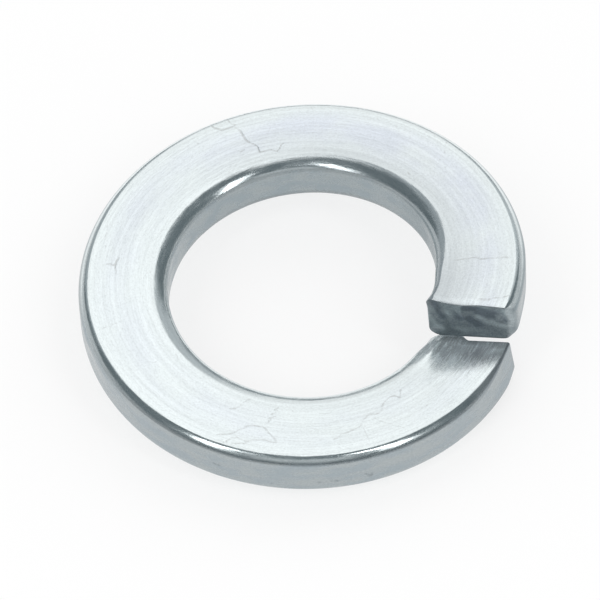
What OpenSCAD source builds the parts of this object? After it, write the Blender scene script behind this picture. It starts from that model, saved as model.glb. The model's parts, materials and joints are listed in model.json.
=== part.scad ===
// Spring lock washer for an M12 bolt: one left-hand coil of flat spring steel wire, wound edge on and sheared
// through. Its two ends stand at different heights, and their corners bite when the washer is pressed flat.

/* [Washer] */
// Diameter of the bore
bore_d = 12.2; // [8:0.1:24]
// Width of the wire, from the bore to the rim
wire_w = 4.05; // [2.5:0.05:8]
// Thickness of the wire
wire_t = 2.35; // [1.6:0.05:5]
// How far the raised end stands above the low one
end_rise = 2.65; // [0.5:0.05:6]

/* [Wire corners] */
// Radius of the rim's upper corner
rim_top_r = 0.55; // [0.1:0.05:0.8]
// Radius of the rim's lower corner
rim_bottom_r = 0.7; // [0.1:0.05:0.8]
// Radius of the bore's upper and lower corners
bore_edge_r = 0.7; // [0.1:0.05:0.8]

/* [Sheared cut] */
// Where the cut crosses the middle of the wire, anticlockwise from +X as seen from above
cut_at = -24.25; // [-180:0.25:180]
// How far the cut turns out of the radial direction
cut_slant = 16; // [0:1:25]
// Width of the cut, as seen from above
cut_gap = 0.05; // [0.05:0.05:2]
// Length of wire that the shear deforms at each end
shear_len = 1; // [0.5:0.1:4]
// Radius that the shear leaves on the corners that it squares: the bore's upper one at the raised end and the
// rim's upper one at the low end
shear_edge_r = 0.12; // [0.05:0.01:0.5]
// How far the shear draws the bore's wall back at the raised end, at the wall's top
bore_tuck_top = 0.2; // [0:0.05:0.5]
// The same at the wall's foot
bore_tuck_foot = 0.35; // [0:0.05:0.5]
// How far the shear draws the rim in at the low end, at the rim's top
rim_tuck_top = 0.35; // [0:0.05:0.5]
// The same at the rim's foot
rim_tuck_foot = 0.15; // [0:0.05:0.5]

/* [Hidden] */

zinc_plate = "#c5cbcf";
bore_r = bore_d/2;
rim_r = bore_r + wire_w;
mid_r = bore_r + wire_w/2;
free_h = wire_t + end_rise;
// Most of the thickness or width that a corner may take up
corner_share = 0.4;
corner_max = corner_share*min(wire_t, wire_w);
// Steps round each corner, and the angle short of the wall at which a corner runs straight on
corner_steps = 5;
corner_stop = 18;
// The coil is swept this far past the bore's wall and the rim, which are then cut true
true_spare = 0.08;
// Turn between two stations of the coil, in degrees, and the stations that follow the shear at each end
coil_step = 5;
shear_steps = 5;
shear_deg = shear_len/mid_r*180/PI;
// Turn over which the stations swing from radial to the direction of the cut
swing_deg = 40;
cut_spare = 1;
round_facets = 144;

// Falls smoothly from 1 at 0 to 0 at 1 and beyond
function fade(x) = x >= 1 ? 0 : (1 + cos(180*x))/2;

// The value a share of the way from one to another
function blend(from, to, share) = from + (to - from)*share;

// Points along an arc of the section, which is drawn as radius and height
function arc(centre, r, from, to) =
    [for (i = [0:corner_steps]) let (a = blend(from, to, i/corner_steps)) centre + r*[cos(a), sin(a)]];

// Turns from the raised end, at 0, to the low end, at 360, with close stations where the shear deforms the wire
function stations() =
    let (ends = [for (i = [0:shear_steps - 1]) shear_deg*i/shear_steps],
         coarse = ceil((360 - 2*shear_deg)/coil_step))
    concat(ends,
           [for (i = [0:coarse]) shear_deg + (360 - 2*shear_deg)*i/coarse],
           [for (i = [1:shear_steps]) 360 - ends[shear_steps - i]]);

// How far a corner runs on beyond its centre's level, at a slant, to pass its wall by the spare
function run(r, spare) = (r*(1 - cos(corner_stop)) + spare)/tan(corner_stop) - r*sin(corner_stop);

// Section of the wire at one station, clockwise from the top: rim corners, then bore corners
function section(turn) =
    let (raised = fade(turn/shear_deg),
         low = fade((360 - turn)/shear_deg),
         rim_top = rim_r - rim_tuck_top*low,
         rim_foot = rim_r - rim_tuck_foot*low,
         bore_top = bore_r + bore_tuck_top*raised,
         bore_foot = bore_r + bore_tuck_foot*raised,
         rim_spare = true_spare*(1 - low),
         bore_spare = true_spare*(1 - raised),
         edge = min(shear_edge_r, corner_max),
         rt = blend(min(rim_top_r, corner_max), edge, low),
         rb = min(rim_bottom_r, corner_max),
         bt = blend(min(bore_edge_r, corner_max), edge, raised),
         bb = min(bore_edge_r, corner_max))
    concat(arc([rim_top - rt, wire_t - rt], rt, 90, corner_stop),
           [[rim_top + rim_spare, wire_t - rt - run(rt, rim_spare)],
            [rim_foot + rim_spare, rb + run(rb, rim_spare)]],
           arc([rim_foot - rb, rb], rb, -corner_stop, -90),
           arc([bore_foot + bb, bb], bb, -90, corner_stop - 180),
           [[bore_foot - bore_spare, bb + run(bb, bore_spare)],
            [bore_top - bore_spare, wire_t - bt - run(bt, bore_spare)]],
           arc([bore_top + bt, wire_t - bt], bt, 180 - corner_stop, 90));

// Swing of the cut's line at this radius from its middle, for the face of the cut on one side of its gap
function swing(r, side) = cut_slant - asin((mid_r*sin(cut_slant) - side*cut_gap/2)/r);

// A point of the section, carried round to its station and up to the coil's height there
function placed(p, turn) =
    let (side = turn < 180 ? 1 : -1,
         near = fade(min(turn, 360 - turn)/swing_deg),
         a = cut_at + turn + near*swing(p[0], side))
    [p[0]*cos(a), p[0]*sin(a), p[1] + end_rise*(1 - turn/360)];

// Flat wire coiled through one turn, with the two faces of the cut as its ends
module coil() {
    turns = stations();
    rings = [for (turn = turns) [for (p = section(turn)) placed(p, turn)]];
    n = len(rings[0]);
    last = len(rings) - 1;
    sides = [for (s = [0:last - 1], i = [0:n - 1])
             let (a = s*n + i, b = s*n + (i + 1) % n)
             each [[a, b, b + n], [a, b + n, a + n]]];
    polyhedron(points = [for (ring = rings, p = ring) p],
               faces = concat([[for (i = [n - 1:-1:0]) i]], sides, [[for (i = [0:n - 1]) last*n + i]]),
               convexity = 6);
}

// The coil with its rim and bore cut true
module lock_washer() {
    color(zinc_plate)
    difference() {
        intersection() {
            coil();
            translate([0, 0, -cut_spare]) cylinder(h = free_h + 2*cut_spare, r = rim_r, $fn = round_facets);
        }
        translate([0, 0, -cut_spare]) cylinder(h = free_h + 2*cut_spare, r = bore_r, $fn = round_facets);
    }
}

lock_washer();
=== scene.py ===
import json
import math

import bpy
import numpy as np
from mathutils import Matrix, Vector, noise


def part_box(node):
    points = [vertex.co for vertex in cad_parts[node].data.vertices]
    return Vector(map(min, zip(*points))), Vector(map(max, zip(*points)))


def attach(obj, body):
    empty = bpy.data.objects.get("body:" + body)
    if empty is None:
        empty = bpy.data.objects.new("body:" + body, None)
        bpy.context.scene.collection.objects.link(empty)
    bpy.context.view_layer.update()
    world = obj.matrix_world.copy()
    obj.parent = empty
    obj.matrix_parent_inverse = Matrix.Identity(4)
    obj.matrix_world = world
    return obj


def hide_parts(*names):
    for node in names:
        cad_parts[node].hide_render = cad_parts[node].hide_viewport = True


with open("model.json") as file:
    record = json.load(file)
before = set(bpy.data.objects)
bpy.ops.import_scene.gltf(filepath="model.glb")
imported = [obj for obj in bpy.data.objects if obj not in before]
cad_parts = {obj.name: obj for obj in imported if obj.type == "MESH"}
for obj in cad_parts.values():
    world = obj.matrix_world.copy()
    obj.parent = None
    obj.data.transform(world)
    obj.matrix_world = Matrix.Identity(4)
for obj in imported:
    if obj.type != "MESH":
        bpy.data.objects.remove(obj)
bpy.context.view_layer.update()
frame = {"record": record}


# The washer: one left-hand coil of flat spring steel wire, wound edge on and sheared through at a slant.
# The wire is rolled with rounded edges, so its flat faces are bright, its corners are burnished by the
# coiling rolls, and its two walls keep the duller skin of the drawing die, with a painted reflection of a
# grey floor darkening them. All of it is zinc plated.

MM = 0.001

# Sizes in millimetres and degrees, from the frame where it has them, or else as in the part's source
bore_r = frame["record"]["mounts"][0]["dims"]["r_mm"]
rim_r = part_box("lock_washer")[1].x / MM
free_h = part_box("lock_washer")[1].z / MM
wire_t = 2.35
end_rise = free_h - wire_t
mid_r = (bore_r + rim_r) / 2
wire_len = 2 * math.pi * mid_r
cut_at = -24.25
cut_slant = 16
cut_gap = 0.05
swing_deg = 40

# Each corner's radius, and down to which angle from the wall it holds: the rim's upper corner is nearly a
# chamfer, and the bore's is tighter by the wall
rim_top_r = ((0.35, 52), (1.0, 36), (0.45, 0))
bore_top_r = ((0.82, 75), (1.19, 61), (0.66, 41), (0.26, 0))
bottom_r = ((0.7, 0),)

# The length of wire that the shear deforms at each end, and what it leaves there: the radius of the bore's
# lower corner at the raised end, and how far it draws the bore's wall back at the raised end's foot and at
# the low end's top, and the rim at the low end's foot
shear_len = 1
bore_foot_r = ((0.6, 0),)
bore_tuck_foot = 0.2
bore_tuck_low = 0.16
rim_tuck_foot = 0.1
# One corner of each end is squared and its wall drawn back over a longer piece: the bore's upper one at the
# raised end, which keeps its size next to the cut, and the rim's upper one at the low end
bore_squared_r = ((0.3, 0),)
bore_squared_len = (0.8, 6.8)
bore_tuck_top = 0.14
bore_tuck_len = (1, 2.8)
rim_squared_r = ((0.12, 0),)
rim_squared_len = 3.5
rim_tuck_top = 0.28

# Points round each corner and across each side, and the length of wire between two rings. The top's are as
# fine as the marks that are drawn on it.
corner_points = 15
top_points = 46
wall_points = 8
foot_points = 8
ring_step = 0.074
# How far into a flat, as a share of it, the points stand that keep its corners' shading off it
support = 0.04


def fade(x):
    """Falls smoothly from 1 at 0 to 0 at 1 and beyond."""
    return (1 + np.cos(np.pi * np.clip(x, 0, 1))) / 2


def rise_to(x, start, end):
    """Climbs smoothly from 0 at start to 1 at end."""
    return 1 - fade((x - start) / (end - start))


def spread(start, end, count):
    """Points on a flat, from one corner to the next."""
    share = np.concatenate([[0], np.linspace(support, 1 - support, count - 1)])
    return start + np.outer(share, np.subtract(end, start))


def arc(start, radii, sheared_radii, share):
    """A corner's points from 0, 0, clockwise from a facing angle, and the angles that they face. Its radii
    are part of the way to those that the shear leaves."""
    facing = np.linspace(start, start - 90, corner_points)
    middle = (facing[:-1] + facing[1:]) / 2
    from_wall = np.degrees(np.arcsin(np.abs(np.sin(np.radians(middle)))))
    whole, left = [np.array([next(r for r, end in given if angle >= end) for angle in from_wall])
                   for given in (radii, sheared_radii)]
    length = (whole + (left - whole) * share) * math.pi / 2 / (corner_points - 1)
    heading = np.stack([np.sin(np.radians(middle)), -np.cos(np.radians(middle))], 1)
    return np.vstack([[0, 0], np.cumsum(length[:, None] * heading, axis=0)]), facing


def section(run):
    """Points of the wire's section at a distance from the raised end, as radius and height, clockwise from
    the top's outer edge, and the angle that each faces: 90 up, 0 out, -90 down and 180 in."""
    raised = float(fade(run / shear_len))
    low = float(fade((wire_len - run) / shear_len))
    bore_squared = 1 - float(rise_to(run, *bore_squared_len))
    bore_tucked = 1 - float(rise_to(run, *bore_tuck_len))
    rim_squared = float(fade((wire_len - run) / rim_squared_len))
    corners = [arc(90, rim_top_r, rim_squared_r, rim_squared),
               arc(0, bottom_r, bottom_r, 0),
               arc(-90, bottom_r, bore_foot_r, raised),
               arc(-180, bore_top_r, bore_squared_r, bore_squared)]
    rim_top, rim_foot, bore_foot, bore_top = [points for points, facing in corners]
    rim_top_at = rim_r - rim_tuck_top * rim_squared
    rim_foot_at = rim_r - rim_tuck_foot * low
    bore_foot_at = bore_r + bore_tuck_foot * raised
    bore_top_at = bore_r + bore_tuck_top * bore_tucked + bore_tuck_low * low
    arcs = [rim_top + (rim_top_at - rim_top[-1, 0], wire_t),
            rim_foot + (rim_foot_at, -rim_foot[-1, 1]),
            bore_foot + (bore_foot_at - bore_foot[-1, 0], 0),
            bore_top + (bore_top_at, wire_t - bore_top[-1, 1])]
    points = []
    facing = []
    for i, flat in enumerate((wall_points, foot_points, wall_points, top_points)):
        points += [arcs[i], spread(arcs[i][-1], arcs[(i + 1) % 4][0], flat)[1:]]
        facing += [corners[i][1], np.full(flat - 1, corners[i][1][-1])]
    return np.concatenate(points), np.concatenate(facing)


def swing(r, side):
    """Swing of the cut's line at a radius from its middle, in degrees, for the face on one side of it."""
    offset = mid_r * math.sin(math.radians(cut_slant)) - side * cut_gap / 2
    return cut_slant - np.degrees(np.arcsin(offset / r))


def placed(points, run):
    """Points of the section carried round to their distance along the wire, in metres."""
    turn = np.degrees(run / mid_r)
    side = np.where(turn < 180, 1, -1)
    near = fade(np.minimum(turn, 360 - turn) / swing_deg)
    angle = np.radians(cut_at + turn + near * swing(points[:, 0], side))
    height = points[:, 1] + end_rise * (1 - np.clip(turn, 0, 360) / 360)
    return MM * np.stack([points[:, 0] * np.cos(angle), points[:, 0] * np.sin(angle), height], 1)


# The shear's marks, in millimetres, and places across the wire from -1 at the bore to 1 at the rim. The
# raised end's face leans forward at its top and back at its foot, which is dragged down.
lean_top = ((-1, -0.25), (-0.8, -0.08), (-0.6, 0.07), (-0.4, 0.165), (-0.15, 0.21), (0.2, 0.137),
            (0.6, 0.165), (1, 0.225))
lean_foot = 0.035
foot_back = 0.1375
foot_drag = 0.28
foot_drag_rim = 0.02
lean_len = 1.2
# The low end reaches in below the raised one, most at the bore
low_reach = 0.08
low_reach_bore = 0.4
low_reach_from = (0.02, 0.32)
# Radii of the sheared edge: keen at the top, rolled over at the raised end's rim, and between which slopes
# the section's side passes from one to the other
keen_edge_r = 0.05
rolled_r = 0.36
rolled_from = (0.15, 0.8)
low_rim_edge_r = 0.08
foot_edge_r = 0.16
foot_from = (0.2, 0.9)
# A burr stands at the bore's top corner of the raised end, and its tip is bare like the face
burr_reach = 0.08
burr_size = 0.6
burr_len = 0.8
tip_size = 0.4
# The fracture's depth and grain, its fractal's fall, step and count of octaves, and the outer share of the
# face over which it sets in. It has one pit.
relief = 0.012
relief_grain = 0.9
relief_detail = (0.6, 2.0, 4)
relief_onset = 0.125
pit_at = (9.66, 1.42)
pit_r = 0.16
pit_depth = 0.07
# Rings over the sheared edge and from there to the middle of the face, and the angles round the edge
# between which plate gives way to bare steel
edge_rings = 6
face_rings = 28
bare_from = (math.radians(5), math.radians(45))
# The raised end's top droops at the cut, away from its rim: the slope that it comes to, the length that
# droops, how far it goes on past the cut's line, and the width over which it gives out towards the rim
droop_slope = 0.09
droop_len = 0.55
droop_past = 0.15
droop_width = 1.2
# The low end's top swells towards the cut, most at the rim: the slope that it comes to at places across the
# wire, and the length that swells. Both are so shallow that only the shading needs them.
swell_slope = ((-1, 0.21), (-0.5, 0.175), (-0.2, 0.205), (0.3, 0.295), (1, 0.4))
swell_len = 3.2
# How upright the section's side is where it passes into a wall, and how far from flat and from upright
# where it passes into a corner
wall_from = (0.66, 0.84)
corner_from = (0, 0.4)


def across_wire(points):
    """Place across the wire: -1 at the bore and 1 at the rim."""
    return (points[:, 0] - mid_r) / (rim_r - mid_r)


def from_burr(points):
    """Distance from the bore's top corner, where the burr stands."""
    return np.hypot(points[:, 0] - bore_r, points[:, 1] - wire_t)


def edge_radius(facing, end):
    """Radius of the sheared edge where the section faces a given way."""
    out = np.cos(np.radians(facing))
    down = -np.sin(np.radians(facing))
    rolled = rolled_r if end == "raised" else low_rim_edge_r
    at_rim = keen_edge_r + (rolled - keen_edge_r) * rise_to(out, *rolled_from)
    painted_shade_at_foot = keen_edge_r + (foot_edge_r - keen_edge_r) * rise_to(down, *foot_from)
    return np.maximum(at_rim, painted_shade_at_foot)


def fracture(points):
    """Relief of a sheared face, with its one pit."""
    grain = [noise.fractal(Vector((r, h, 0)) / relief_grain, *relief_detail) for r, h in points]
    pit = fade(np.hypot(points[:, 0] - pit_at[0], points[:, 1] - pit_at[1]) / pit_r)
    return relief * np.array(grain) + pit_depth * pit


def over_edge(points, facing, end, edge, shrink):
    """A ring carried over an end's sheared edge, by an angle, and drawn in across its face: its points,
    their distances along the wire, and how bare they are."""
    r = edge_radius(facing, end)
    normal = np.stack([np.cos(np.radians(facing)), np.sin(np.radians(facing))], 1)
    inset = (1 - np.cos(edge)) * r
    centre = np.array([mid_r, wire_t / 2])
    points = centre + (points - inset[:, None] * normal - centre) * shrink
    depth = (1 - np.sin(edge)) * r
    if shrink < 1:
        depth = depth + fracture(points) * min(1, (1 - shrink) / relief_onset)
    along = depth if end == "raised" else wire_len - depth
    return points, along, np.full(len(points), float(rise_to(edge, *bare_from)))


def sheared(points, run):
    """How far the raised end stands forward at each point, and the points with burr and foot dragged."""
    up = points[:, 1] / wire_t
    near = fade(run / lean_len)
    top = np.interp(across_wire(points), *zip(*lean_top))
    foot = lean_foot * across_wire(points) - foot_back
    forward = (top * up + foot * (1 - up)) * near
    reach = burr_reach * fade(from_burr(points) / burr_size) * fade(run / burr_len)
    dragged = (foot_drag + foot_drag_rim * across_wire(points)) * (1 - up) * near
    return forward, points - np.stack([reach, dragged], 1)


def reaching(points, run):
    """How far the low end reaches in below the raised end at each point."""
    reach = low_reach + low_reach_bore * rise_to(-across_wire(points), *low_reach_from)
    return reach * fade((wire_len - run) / lean_len)


def bending(points, run):
    """How far the top bends up at the low end and down at the raised end, for the shading."""
    slope = np.interp(across_wire(points), *zip(*swell_slope))
    swell = slope * swell_len / 2 * np.clip(1 - (wire_len - run) / swell_len, 0, 1) ** 2
    droop = droop_slope * fade((points[:, 0] - mid_r) / droop_width) * droop_len / 2
    return swell - droop * np.clip(1 - (run + droop_past) / droop_len, 0, 1) ** 2


def ring(run, end, edge=None, shrink=1.0):
    """One ring of the coil: its points in metres, and what the material reads there, which is the place in
    the wire, how far it is wall, corner and bare face, and the bending. Edge is the angle reached round the
    sheared edge, and shrink draws the ring in across the end's face."""
    points, facing = section(run)
    along = np.full(len(points), float(run))
    bare = np.zeros(len(points))
    if edge is not None:
        points, along, bare = over_edge(points, facing, end, edge, shrink)
    if end == "raised":
        bare = np.maximum(bare, fade(from_burr(points) / tip_size) * fade(along / tip_size))
        forward, points = sheared(points, along)
        along = along - forward
    else:
        along = along + reaching(points, along)
    wall = rise_to(np.abs(np.cos(np.radians(facing))), *wall_from)
    corner = rise_to(np.abs(np.sin(np.radians(2 * facing))), *corner_from)
    wire = np.stack([along, points[:, 0], points[:, 1]], 1)
    return placed(points, along), wire, wall, corner, bare, bending(points, along)


def end_rings(end):
    """Rings of one end from the middle of its face, over its edge and on to where the plain coil begins."""
    run = 0 if end == "raised" else wire_len
    face = [ring(run, end, math.pi / 2, k / face_rings) for k in range(1, face_rings)]
    return face + [ring(run, end, math.pi / 2 * (1 - k / edge_rings)) for k in range(edge_rings)]


# The plain coil begins this far from each end
plain_from = 0.4
plain = np.linspace(plain_from, wire_len - plain_from, round((wire_len - 2 * plain_from) / ring_step))
rings = end_rings("raised")
rings += [ring(run, "raised" if run < wire_len / 2 else "low") for run in plain]
rings += end_rings("low")[::-1]
count = len(rings[0][0])
total = count * len(rings)


def closed(column):
    """One column of all the rings' values, with those at the middles of the two faces at its end."""
    values = np.concatenate(column)
    return np.concatenate([values, [values[:count].mean(0), values[total - count:].mean(0)]])


places, wires, walls, corners, bared, bent = [closed(column) for column in zip(*rings)]
faces = []
for k in range(len(rings) - 1):
    for i in range(count):
        a, b = k * count + i, k * count + (i + 1) % count
        faces.append((a, b, b + count, a + count))
for first, tip, turned in ((0, total, False), (total - count, total + 1, True)):
    for i in range(count):
        a, b = first + i, first + (i + 1) % count
        faces.append((tip, a, b) if turned else (tip, b, a))
mesh = bpy.data.meshes.new("washer")
mesh.from_pydata(places.tolist(), [], faces)
mesh.polygons.foreach_set("use_smooth", [True] * len(mesh.polygons))

# Hairlines of the plate, where its rinse dried in runs: each is a course over the top, as distances along
# the wire from the raised end and radii, in millimetres. Specks of the same are courses of one point.
hairlines = (
    ((2.65, 9.35), (2.75, 8.95), (2.75, 8.4), (2.8, 8.1), (2.9, 7.75), (2.95, 7.4), (2.85, 7.0)),
    ((0.3, 8.4), (0.28, 8.8), (0.38, 9.3), (0.5, 9.7)),
    ((19.4, 9.75), (19.3, 9.55), (19.1, 9.3), (18.6, 9.25), (18.45, 8.85), (18.4, 8.4), (18.25, 8.0),
     (18.05, 7.8), (17.95, 7.3), (17.5, 7.35), (17.1, 7.15), (16.7, 7.6)),
    ((18.75, 9.95), (18.7, 9.6), (18.55, 9.3)),
    ((27.2, 8.45), (27.45, 8.5), (27.7, 8.6), (27.65, 8.9)),
    ((27.5, 8.5), (27.7, 8.55), (28.1, 8.45)),
    ((38.35, 9.65), (38.55, 9.3), (38.8, 9.2), (39.15, 9.25)),
    ((38.0, 9.35), (38.55, 9.05), (38.8, 8.65), (38.95, 8.45), (39.4, 8.3), (39.6, 8.3), (39.9, 8.55),
     (40.2, 8.8), (40.3, 9.05), (39.8, 9.05), (39.4, 9.1), (39.15, 9.25)),
    ((38.45, 9.6), (38.8, 9.55), (39.05, 9.45), (39.25, 9.2)),
    ((37.9, 7.8), (38.1, 7.75), (38.2, 7.5), (38.3, 7.25), (38.65, 6.95)),
    ((39.8, 8.1), (39.95, 7.85)),
    ((39.8, 7.85), (40.1, 7.6)),
    ((39.85, 7.55), (40.1, 7.3)),
    ((39.95, 7.25), (40.15, 7.1)),
    ((42.6, 8.9), (42.9, 8.8), (43.2, 8.6), (43.65, 8.55), (43.95, 8.4), (44.15, 8.15), (44.45, 7.95),
     (44.65, 7.95), (44.95, 8.05), (45.2, 7.75), (45.4, 7.6), (45.8, 7.45), (46.1, 7.5), (46.25, 7.7),
     (46.4, 7.5), (46.6, 7.35)),
)
faint_hairlines = (
    ((18.6, 9.25), (18.95, 9.35), (19.25, 9.5)),
    ((17.0, 8.9), (17.3, 8.5), (17.45, 8.35)),
    ((11.7, 8.2), (11.75, 7.8), (12.0, 7.5), (12.4, 7.3)),
    ((15.45, 9.7), (15.35, 9.3)),
    ((26.75, 9.2), (27.0, 9.05), (27.4, 8.95)),
    ((25.7, 9.4), (26.2, 9.35), (26.6, 9.4)),
    ((27.95, 6.85), (28.0, 7.0), (28.2, 7.1), (28.45, 7.15)),
    ((30.75, 8.4), (30.8, 8.8), (30.9, 9.4)),
    ((33.1, 8.4), (33.35, 8.2), (33.5, 8.05), (33.5, 7.6), (33.55, 7.4)),
    ((33.2, 7.2), (33.4, 6.95), (33.55, 6.9), (34.0, 7.15)),
    ((34.0, 8.7), (33.95, 8.4), (33.8, 8.2)),
    ((41.1, 8.45), (41.35, 8.35), (41.75, 8.2), (42.1, 8.3)),
    ((40.8, 8.9), (41.2, 8.95), (41.6, 8.9)),
    ((40.95, 7.3), (41.3, 7.2), (41.7, 7.3)),
    ((42.2, 7.35), (42.6, 7.45), (42.9, 7.3)),
    ((44.6, 8.2), (44.8, 8.5), (45.15, 8.9), (45.4, 9.2), (45.6, 9.6)),
    ((43.0, 9.65), (43.2, 9.4), (43.35, 9.3)),
    ((43.95, 9.4), (44.0, 9.0), (43.95, 8.6)),
    ((42.6, 8.6), (43.1, 8.65), (43.7, 8.6)),
    ((47.0, 7.15), (47.25, 7.4), (47.5, 7.55)),
)
specks = (
    ((1.2, 9.15),), ((1.8, 7.6),), ((0.35, 7.1),), ((7.6, 9.1),), ((8.1, 9.5),), ((8.45, 8.95),),
    ((8.7, 8.6),), ((9.2, 8.75),), ((9.4, 9.25), (9.3, 9.15)), ((9.65, 9.65),), ((11.8, 9.3),),
    ((9.6, 7.15), (9.75, 7.2)), ((9.1, 7.1),), ((18.65, 7.7), (18.8, 7.7)), ((25.1, 6.95),),
    ((25.2, 7.0),), ((22.6, 8.5),), ((31.7, 7.45),), ((32.7, 8.5),), ((36.5, 8.15),), ((46.9, 8.8),),
    ((24.3, 7.25),), ((20.3, 9.15),), ((40.85, 7.2),),
)
# Nicks in the rim's wall, as distances along the wire and heights
nicks = (
    ((38.05, 1.3), (38.2, 1.2), (38.35, 1.3)), ((43.6, 1.05), (43.8, 0.85), (43.85, 1.05)),
    ((41.9, 0.95), (42.3, 1.0), (42.6, 0.95)), ((34.4, 1.5), (34.5, 1.45)), ((33.6, 1.35),),
    ((40.2, 0.75),),
)
# Light smears and dark places on the raised end's face, as radii and heights
smears = (
    ((9.75, 2.1), (9.9, 1.7), (9.95, 1.3), (9.87, 1.0), (9.6, 0.9), (9.25, 0.95)),
    ((8.45, 1.45), (8.6, 1.4)), ((8.8, 1.25), (8.9, 1.15), (9.2, 1.0)), ((9.48, 1.75), (9.5, 1.55)),
    ((6.45, 0.95), (6.55, 0.6), (6.85, 0.4)), ((6.2, 1.8), (6.25, 1.2)), ((7.1, 1.65), (7.35, 1.55)),
    ((7.6, 0.45), (7.9, 0.4)),
)
dark_places = (
    ((8.0, 2.15), (8.4, 2.05), (8.8, 1.95), (9.2, 1.85), (9.4, 1.8)),
    ((8.5, 1.85), (8.9, 1.7), (9.2, 1.62)), ((9.64, 1.52), (9.7, 1.32)),
    ((8.1, 1.35), (8.3, 1.1), (8.5, 0.85)), ((6.6, 2.1), (6.8, 1.75), (6.95, 1.3)),
    ((7.45, 1.6), (7.7, 1.3)),
)
# A course wanders off its points by these amounts, each over a length of its own
wanders = ((0.07, 0.35), (0.035, 0.12))
# How far each kind of mark reaches off its course, and how much of the ink a faint hairline has
mark_reach = 0.12
nick_reach = 0.17
smear_reach = 0.3
faintness = 0.72
# The rim's wall is taken this thick, and the top goes down to this share of the wire's thickness
rim_skin = 0.05
top_share = 0.7
# Stands for the squared length of a course of one point, which has none
least_square = 1e-9


def nearness(places, courses, reach):
    """1 on the nearest course, falling to 0 at a distance, for places in two coordinates."""
    strayed = places.copy()
    for amount, length in wanders:
        strayed += [amount * noise.noise_vector(Vector((x, y, 0)) / length).xy for x, y in places]
    far = np.full(len(places), reach)
    for course in courses:
        for start, end in zip(course, course[1:] or course):
            line = np.subtract(end, start)
            share = np.clip((strayed - start) @ line / max(line @ line, least_square), 0, 1)
            far = np.minimum(far, np.linalg.norm(strayed - start - share[:, None] * line, axis=1))
    return 1 - far / reach


on_face = (bared > 0.5) & (wires[:, 0] < wire_len / 2)
on_rim = (wires[:, 1] > rim_r - rim_skin) & ~on_face
on_top = (wires[:, 2] > wire_t * top_share) & ~on_rim & ~on_face
top_places = wires[on_top, :2]
face_places = wires[on_face][:, [1, 2]]
marks = np.zeros(len(wires))
marks[on_top] = np.maximum(nearness(top_places, hairlines + specks, mark_reach),
                           nearness(top_places, faint_hairlines, mark_reach) * faintness)
marks[on_rim] = nearness(wires[on_rim][:, [0, 2]], nicks, nick_reach)
marks[on_face] = (nearness(face_places, smears, smear_reach)
                  - nearness(face_places, dark_places, smear_reach))

# What the material reads at each point
mesh.attributes.new("wire", "FLOAT_VECTOR", "POINT").data.foreach_set("vector", wires.ravel())
for name, values in (("wall", walls), ("corner", corners), ("bare", bared), ("bending", bent),
                     ("mark", marks)):
    mesh.attributes.new(name, "FLOAT", "POINT").data.foreach_set("value", values)
mesh.validate()
washer = bpy.data.objects.new("washer", mesh)
bpy.context.scene.collection.objects.link(washer)


def linear(code):
    """An sRGB hex colour as the linear colour that a shader takes."""
    parts = [int(code[i:i + 2], 16) / 255 for i in (1, 3, 5)]
    return [c / 12.92 if c <= 0.04045 else ((c + 0.055) / 1.055) ** 2.4 for c in parts] + [1]


def add(tree, kind, inputs=None, **settings):
    """Adds a node with its settings. Each input is set to a value, or linked to a socket or to a node's
    first output."""
    made = tree.nodes.new("ShaderNode" + kind)
    for name, value in settings.items():
        setattr(made, name, value)
    for key, value in (inputs or {}).items():
        if isinstance(value, bpy.types.Node):
            value = value.outputs[0]
        if isinstance(value, bpy.types.NodeSocket):
            tree.links.new(value, made.inputs[key])
        else:
            made.inputs[key].default_value = value
    return made


# Bright zinc plate with a clear passivate over drawn steel: a cool white metal with a slight haze. Its flats
# mirror through fine lines that run along the wire, its corners are burnished, its walls keep the duller,
# greyer skin of the die, darkened further by a painted reflection of a grey floor and by painted shade, and
# the sheared face is dark bare steel under a flash of plate. The low end's top carries a painted reflection
# of the raised end's dark face.
plate_bright = linear("#eef6f7")
plate_blue = linear("#e5ecf4")
margin_grey = linear("#d5dcdf")
# Painted reflection of the raised end's dark face, on the low end's top
painted_reflection_grey = linear("#868f95")
# The walls' two greys: the die's skin, darkened by a painted reflection of a grey floor
wall_grey_and_reflection = linear("#afb6b8")
wall_blue_and_reflection = linear("#a7b1b6")
# Painted shade, for the walls at their foot, by the raised end and in the bore
painted_shade_grey = linear("#7e8c91")
hairline_grey = linear("#a9aaa8")
nick_grey = linear("#6a7479")
scuffed_grey = linear("#858e94")
shear_deep = linear("#6b747c")
shear_dark = linear("#838c91")
shear_light = linear("#939da1")
smear_grey = linear("#b3bdc0")
bright_metal = 0.94
dull_metal = 0.78
strip_metal = 0.4
flat_roughs = (0.1, 0.22)
corner_roughs = (0.16, 0.28)
wall_roughs = (0.2, 0.34)
haze_rough = 0.26
shear_rough = 0.45

zinc = bpy.data.materials.new("zinc_plate")
zinc.use_nodes = True
tree = zinc.node_tree
tree.nodes.clear()
wire = add(tree, "Attribute", attribute_name="wire").outputs["Vector"]
wall, corner, bare, bending_height, mark = [
    add(tree, "Attribute", attribute_name=name).outputs["Fac"]
    for name in ("wall", "corner", "bare", "bending", "mark")]
run, radius, level = add(tree, "SeparateXYZ", {0: wire}).outputs

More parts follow.
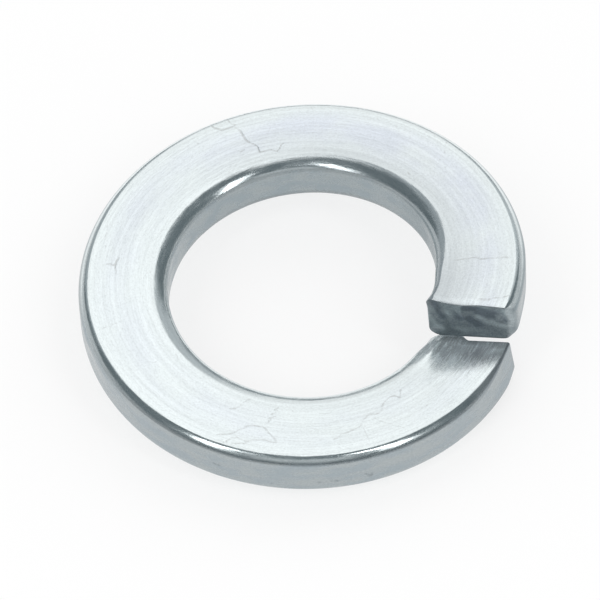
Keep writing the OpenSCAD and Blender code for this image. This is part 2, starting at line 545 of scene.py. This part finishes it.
# Patterns in the wire's own directions: their size along it and across it in millimetres, and their detail.
# The drawing lines stand 0.16 mm apart. Scratches and grain are finer than a tenth on the real wire, and are
# drawn coarser so that they show.
pattern = {}
for name, along, across, detail in (("lines", 5, 0.16, 2), ("scratches", 0.5, 0.06, 1),
                                    ("grain", 0.09, 0.07, 1), ("clouds", 5, 2.5, 4),
                                    ("patches", 1.6, 0.6, 3), ("breaks", 0.5, 0.5, 2),
                                    ("tears", 0.9, 0.5, 3), ("dents", 1.3, 0.2, 2),
                                    ("reflection_streaks", 0.55, 0.08, 2)):
    per_mm = (1 / along, 1 / across, 1 / across)
    stretched = add(tree, "VectorMath", {0: wire, 1: per_mm}, operation="MULTIPLY")
    texture = {"Vector": stretched, "Scale": 1, "Detail": detail, "Roughness": 0.6}
    pattern[name] = add(tree, "TexNoise", texture)

# The flats' colour: bluer in clouds along the middle of the wire, most near the raised end, and greyer by
# the bore over the part of the wire next to the raised end, most at its very end. A MapRange node carries
# its input 0 from the range of inputs 1 and 2 to that of 3 and 4.
clouded = add(tree, "MapRange", {0: pattern["clouds"], 1: 0.4, 2: 0.62})
bluer = add(tree, "MapRange", {0: run, 1: 28, 2: 16, 3: 0.4, 4: 1})
clouded = add(tree, "Math", {0: clouded, 1: bluer}, operation="MULTIPLY")
inside = add(tree, "MapRange", {0: radius, 1: 6.9, 2: 7.8})
outside = add(tree, "MapRange", {0: radius, 1: 9.6, 2: 8.8})
middle = add(tree, "Math", {0: inside, 1: outside}, operation="MULTIPLY")
blue_share = add(tree, "Math", {0: middle, 1: clouded}, operation="MULTIPLY")
greyer_along_run = add(tree, "MapRange", {0: run, 1: 23, 2: 15, 3: 0.05, 4: 0.55})
greyer_at_raised_end = add(tree, "MapRange", {0: run, 1: 4.5, 2: 1.5, 3: 0, 4: 0.45})
greyer_along_run = add(tree, "Math", {0: greyer_along_run, 1: greyer_at_raised_end}, operation="ADD")
by_bore = add(tree, "MapRange", {0: radius, 1: 8.5, 2: 7.0})
margin = add(tree, "Math", {0: greyer_along_run, 1: by_bore}, operation="MULTIPLY")
streak = add(tree, "MapRange", {0: pattern["lines"], 1: 0.3, 2: 0.7, 3: 0.925, 4: 1.045})
speckle = add(tree, "MapRange", {0: pattern["grain"], 1: 0.25, 2: 0.75, 3: 0.91, 4: 1.065})
shade = add(tree, "Math", {0: streak, 1: speckle}, operation="MULTIPLY")
plate = add(tree, "MixRGB", {0: blue_share, 1: plate_bright, 2: plate_blue})
plate = add(tree, "MixRGB", {0: margin, 1: plate, 2: margin_grey})
plate = add(tree, "MixRGB", {0: 1, 1: plate, 2: shade}, blend_type="MULTIPLY")

# Painted reflection: grey streaks on the low end's top near the cut, for the raised end's dark face that it
# mirrors there
near_low = add(tree, "MapRange", {0: run, 1: wire_len - 2, 2: wire_len - 0.9, 3: -0.35, 4: 0.12})
painted_reflection_share = add(tree, "Math", {0: near_low, 1: pattern["reflection_streaks"]}, operation="ADD")
painted_reflection_share = add(tree, "MapRange", {0: painted_reflection_share, 1: 0.45, 2: 0.62, 3: 0, 4: 0.4})
plate = add(tree, "MixRGB", {0: painted_reflection_share, 1: plate, 2: painted_reflection_grey})

# The walls' colour: patches of the die's skin, and painted shade at the foot, by the raised end and in the
# bore
patched = add(tree, "MapRange", {0: pattern["patches"], 1: 0.4, 2: 0.6})
painted_shade_at_foot = add(tree, "MapRange", {0: level, 1: 0.6, 2: 0.1, 3: 0, 4: 0.8})
painted_shade_near_raised = add(tree, "MapRange", {0: run, 1: 10, 2: 6, 3: 0, 4: 0.6})
in_bore = add(tree, "MapRange", {0: radius, 1: 7, 2: 6.5})
painted_shade_in_bore = add(tree, "MapRange", {0: run, 1: 9, 2: 4, 3: 0.22, 4: 0.7})
painted_shade_in_bore = add(tree, "Math", {0: in_bore, 1: painted_shade_in_bore}, operation="MULTIPLY")
wall_skin_and_shade = add(tree, "MixRGB", {0: patched, 1: wall_grey_and_reflection, 2: wall_blue_and_reflection})
for dark_share in (painted_shade_near_raised, painted_shade_at_foot, painted_shade_in_bore):
    wall_skin_and_shade = add(tree, "MixRGB", {0: dark_share, 1: wall_skin_and_shade, 2: painted_shade_grey})
wall_skin_and_shade = add(tree, "MixRGB", {0: 1, 1: wall_skin_and_shade, 2: speckle}, blend_type="MULTIPLY")

# The hairlines over the flats and the nicks in the walls, broken here and there
inked = add(tree, "MapRange", {0: mark, 1: 0.48, 2: 0.92})
broken = add(tree, "MapRange", {0: pattern["breaks"], 1: 0.36, 2: 0.52, 3: 0.4, 4: 1})
drawn = add(tree, "Math", {0: inked, 1: broken}, operation="MULTIPLY")
drawn_share = add(tree, "Math", {0: drawn, 1: 0.5}, operation="MULTIPLY")
ink = add(tree, "MixRGB", {0: wall, 1: hairline_grey, 2: nick_grey})
covered = add(tree, "MixRGB", {0: wall, 1: plate, 2: wall_skin_and_shade})
covered = add(tree, "MixRGB", {0: drawn_share, 1: covered, 2: ink})

# The corner that the shear squared at the low end's rim is scuffed dark
scuffed = add(tree, "MapRange", {0: run, 1: wire_len - 3.4, 2: wire_len - 1.6, 3: 0, 4: 0.7})
at_rim = add(tree, "MapRange", {0: radius, 1: 9.5, 2: 9.62})
for share in (at_rim, corner):
    scuffed = add(tree, "Math", {0: scuffed, 1: share}, operation="MULTIPLY")
covered = add(tree, "MixRGB", {0: scuffed, 1: covered, 2: scuffed_grey})

# The sheared faces: torn and gritty steel, with lighter smears and darker places
torn_share = add(tree, "MapRange", {0: pattern["tears"], 1: 0.38, 2: 0.62})
smeared = add(tree, "MapRange", {0: mark, 1: 0.15, 2: 0.8, 3: 0, 4: 0.65})
darkened = add(tree, "MapRange", {0: mark, 1: -0.1, 2: -0.6, 3: 0, 4: 0.9})
grit = add(tree, "MapRange", {0: pattern["grain"], 1: 0.25, 2: 0.75, 3: 0.78, 4: 1.22})
torn = add(tree, "MixRGB", {0: torn_share, 1: shear_dark, 2: shear_light})
torn = add(tree, "MixRGB", {0: smeared, 1: torn, 2: smear_grey})
torn = add(tree, "MixRGB", {0: darkened, 1: torn, 2: shear_deep})
torn = add(tree, "MixRGB", {0: 1, 1: torn, 2: grit}, blend_type="MULTIPLY")
colour = add(tree, "MixRGB", {0: bare, 1: covered, 2: torn})

# Roughness: the flats mirror sharply between hazy grains, the corners are burnished unevenly, and the walls
# are satin
flat_rough = add(tree, "MapRange", {0: pattern["scratches"], 1: 0.35, 2: 0.7,
                                    3: flat_roughs[0], 4: flat_roughs[1]})
hazy = add(tree, "MapRange", {0: pattern["grain"], 1: 0.5, 2: 0.8})
flat_rough = add(tree, "MixRGB", {0: hazy, 1: flat_rough, 2: (haze_rough, haze_rough, haze_rough, 1)})
burnish = add(tree, "MapRange", {0: pattern["dents"], 1: 0.4, 2: 0.65,
                                 3: corner_roughs[0], 4: corner_roughs[1]})
satin = add(tree, "MapRange", {0: pattern["patches"], 1: 0.3, 2: 0.7,
                               3: wall_roughs[0], 4: wall_roughs[1]})
rough = add(tree, "MixRGB", {0: corner, 1: flat_rough, 2: burnish})
rough = add(tree, "MixRGB", {0: wall, 1: rough, 2: satin})
rough = add(tree, "MixRGB", {0: bare, 1: rough, 2: (shear_rough, shear_rough, shear_rough, 1)})

# Relief in millimetres: the bending of the ends' tops, and on it each pattern's depth in turn
relief_sum = bending_height
dented = add(tree, "Math", {0: pattern["dents"], 1: corner}, operation="MULTIPLY")
for height, depth in ((pattern["lines"], 0.002), (pattern["scratches"], 0.0005),
                      (pattern["grain"], 0.0005), (dented, 0.006), (drawn, -0.003)):
    relief_sum = add(tree, "Math", {0: height, 1: depth, 2: relief_sum}, operation="MULTIPLY_ADD")
bump = add(tree, "Bump", {"Height": relief_sum, "Distance": MM, "Strength": 1})

# The low end's top near the cut is duller too, and the strip between the bore's wall and its corner, which
# neither the die nor the rolls rub, is dullest
metal = add(tree, "MapRange", {0: run, 1: wire_len - 3, 2: wire_len - 1.8,
                               3: bright_metal, 4: dull_metal})
strip = in_bore
for share in (wall, corner):
    strip = add(tree, "Math", {0: strip, 1: share}, operation="MULTIPLY")
metal = add(tree, "MapRange", {0: strip, 1: 0, 2: 1, 3: metal, 4: strip_metal})
shader = add(tree, "BsdfPrincipled", {"Base Color": colour, "Metallic": metal, "Roughness": rough,
                                      "Normal": bump})
add(tree, "OutputMaterial", {"Surface": shader})
mesh.materials.append(zinc)

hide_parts("lock_washer")
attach(washer, "root")


# The studio floor: a plain white table. It glows a little for the eye and for the metal that mirrors it, and
# takes the rest of its white from the lamps, so that the washer's soft shadow stays on it.
floor_r = 0.6
floor_sides = 96
floor_white = linear("#f7f7f7")
floor_glow = 0.68
floor_lit = 0.3

bpy.ops.mesh.primitive_circle_add(vertices=floor_sides, radius=floor_r, fill_type="NGON")
floor = bpy.context.object
floor.name = "floor"
table = bpy.data.materials.new("white_table")
table.use_nodes = True
tree = table.node_tree
tree.nodes.clear()
# It glows for the rays of the eye and those that metal or glass sends on, not for those that light the scene
path = add(tree, "LightPath").outputs
seen = add(tree, "Math", {0: path["Is Camera Ray"], 1: path["Is Glossy Ray"]}, operation="MAXIMUM")
seen = add(tree, "Math", {0: seen, 1: path["Is Transmission Ray"]}, operation="MAXIMUM")
glow_share = add(tree, "Math", {0: seen, 1: floor_glow}, operation="MULTIPLY")
glow = add(tree, "Emission", {"Color": (1, 1, 1, 1), "Strength": glow_share})
matt = add(tree, "BsdfDiffuse", {"Color": [c * floor_lit for c in floor_white[:3]] + [1]})
both = add(tree, "AddShader", {0: glow, 1: matt})
add(tree, "OutputMaterial", {"Surface": both})
floor.data.materials.append(table)


# The surroundings: a white room, which the eye and the metal both see. Painted cards stand round the table,
# and only the metal mirrors them: they draw the dark bands along its rounded corners. Distances are in
# metres. Azimuth 0 is the lens's side and 90 its right.
card_far = 0.7
panel_far = 0.65
side_far = 0.64
low_far = 0.6
# Degrees between two points of a card
card_turn = 5
# The back panel's glow climbs from its foot to its top, as a lit panel's does: two elevations, and the
# strength at each
panel_climb = (33, 70)
panel_glow = (0.82, 1.12)


def direction(azimuth, elevation):
    """Unit vector towards an azimuth and an elevation."""
    a, e = math.radians(azimuth), math.radians(elevation)
    return Vector((math.sin(a) * math.cos(e), -math.cos(a) * math.cos(e), math.sin(e)))


def paint(name, shade):
    """A plain glowing surface, for what the metal mirrors."""
    made = bpy.data.materials.new(name)
    made.use_nodes = True
    made.node_tree.nodes.clear()
    glow = add(made.node_tree, "Emission", {"Color": shade, "Strength": 1})
    add(made.node_tree, "OutputMaterial", {"Surface": glow})
    return made


def card(name, azimuths, elevations, far, material):
    """A curved card round the table, between two azimuths and two elevations."""
    across = max(2, round(abs(azimuths[1] - azimuths[0]) / card_turn))
    up = max(2, round(abs(elevations[1] - elevations[0]) / card_turn))
    points = [direction(azimuths[0] + (azimuths[1] - azimuths[0]) * i / across,
                        elevations[0] + (elevations[1] - elevations[0]) * j / up) * far
              for i in range(across + 1) for j in range(up + 1)]
    corners = [i * (up + 1) + j for i in range(across) for j in range(up)]
    quads = [(c, c + up + 1, c + up + 2, c + 1) for c in corners]
    shape = bpy.data.meshes.new(name)
    shape.from_pydata([tuple(p) for p in points], [], quads)
    shape.materials.append(material)
    made = bpy.data.objects.new(name, shape)
    bpy.context.scene.collection.objects.link(made)
    made.visible_camera = False
    made.visible_diffuse = False
    made.visible_shadow = False


panel = paint("back_panel", (1, 1, 1, 1))
tree = panel.node_tree
position = add(tree, "NewGeometry").outputs["Position"]
place = add(tree, "VectorMath", {0: position}, operation="NORMALIZE")
climb = add(tree, "SeparateXYZ", {0: place}).outputs["Z"]
panel_foot, panel_top = [math.sin(math.radians(elevation)) for elevation in panel_climb]
glow = add(tree, "MapRange", {0: climb, 1: panel_foot, 2: panel_top, 3: panel_glow[0], 4: panel_glow[1]})
tree.links.new(glow.outputs[0], tree.nodes["Emission"].inputs["Strength"])

dark_paint = paint("black_card", linear("#4f5b60"))
low_paint = paint("low_card", linear("#b8bbbd"))
skirting_paint = paint("skirting", linear("#6a7277"))
grey_paint = paint("grey_card", linear("#b0b4b6"))
left_paint = paint("left_card", linear("#8f969a"))
right_paint = paint("right_card", linear("#acb1b4"))
card("dark_cards", (-150, 150), (14, 88), card_far, dark_paint)
card("low_cards_left", (-150, -45), (0, 19), low_far, low_paint)
card("low_cards_front", (-45, 45), (0, 10), low_far, low_paint)
card("low_cards_right", (45, 150), (0, 13), low_far, low_paint)
card("back_skirting", (150, 210), (0, 13), low_far, skirting_paint)
card("grey_card", (-24, 24), (30, 49), panel_far, grey_paint)
card("left_card", (-165, -137), (13, 62), side_far, left_paint)
card("right_card", (137, 165), (13, 50), side_far, right_paint)
card("back_panel", (145, 215), (13, 79), panel_far, panel)

world = bpy.data.worlds.new("white_room")
bpy.context.scene.world = world
world.use_nodes = True
tree = world.node_tree
tree.nodes.clear()
room = add(tree, "Background", {"Color": (1, 1, 1, 1), "Strength": 1})
add(tree, "OutputWorld", {"Surface": room})


# The lamps: two upright softboxes in front, one to each side, which draw the short highlights on the rim's
# and the bore's corners. Sizes are in metres.
lamp_far = 0.5
lamp_up = 51
lamp_aside = 46.5


def softbox(name, azimuth, size, watts):
    """A soft rectangular lamp that looks at the washer from an azimuth."""
    lamp = bpy.data.lights.new(name, "AREA")
    lamp.shape = "RECTANGLE"
    lamp.size, lamp.size_y = size
    lamp.energy = watts
    made = bpy.data.objects.new(name, lamp)
    made.location = direction(azimuth, lamp_up) * lamp_far
    made.rotation_mode = "QUATERNION"
    made.rotation_quaternion = direction(azimuth, lamp_up).to_track_quat("Z", "Y")
    bpy.context.scene.collection.objects.link(made)


softbox("softbox_left", -lamp_aside, (0.08, 0.27), 0.24)
softbox("softbox_right", lamp_aside, (0.08, 0.29), 0.26)


# The camera, as the photograph's own: the washer fills three quarters of a long lens's view
camera_far = 293.8 * MM
camera_up = 50.27
camera_roll = -3.43
focal_length = 388.5
sensor_w = 36
aim = Vector((0, 0, 2.494)) * MM
aim_shift = Vector((-0.114, -0.365, 0)) * MM

lens = bpy.data.cameras.new("camera")
lens.lens = focal_length
lens.sensor_width = sensor_w
camera = bpy.data.objects.new("camera", lens)
bpy.context.scene.collection.objects.link(camera)
back = direction(0, camera_up)
turn = back.to_track_quat("Z", "Y").to_matrix() @ Matrix.Rotation(math.radians(camera_roll), 3, "Z")
camera.location = aim + turn @ aim_shift + back * camera_far
camera.rotation_mode = "QUATERNION"
camera.rotation_quaternion = turn.to_quaternion()
bpy.context.scene.camera = camera
bpy.context.scene.view_settings.view_transform = "Standard"
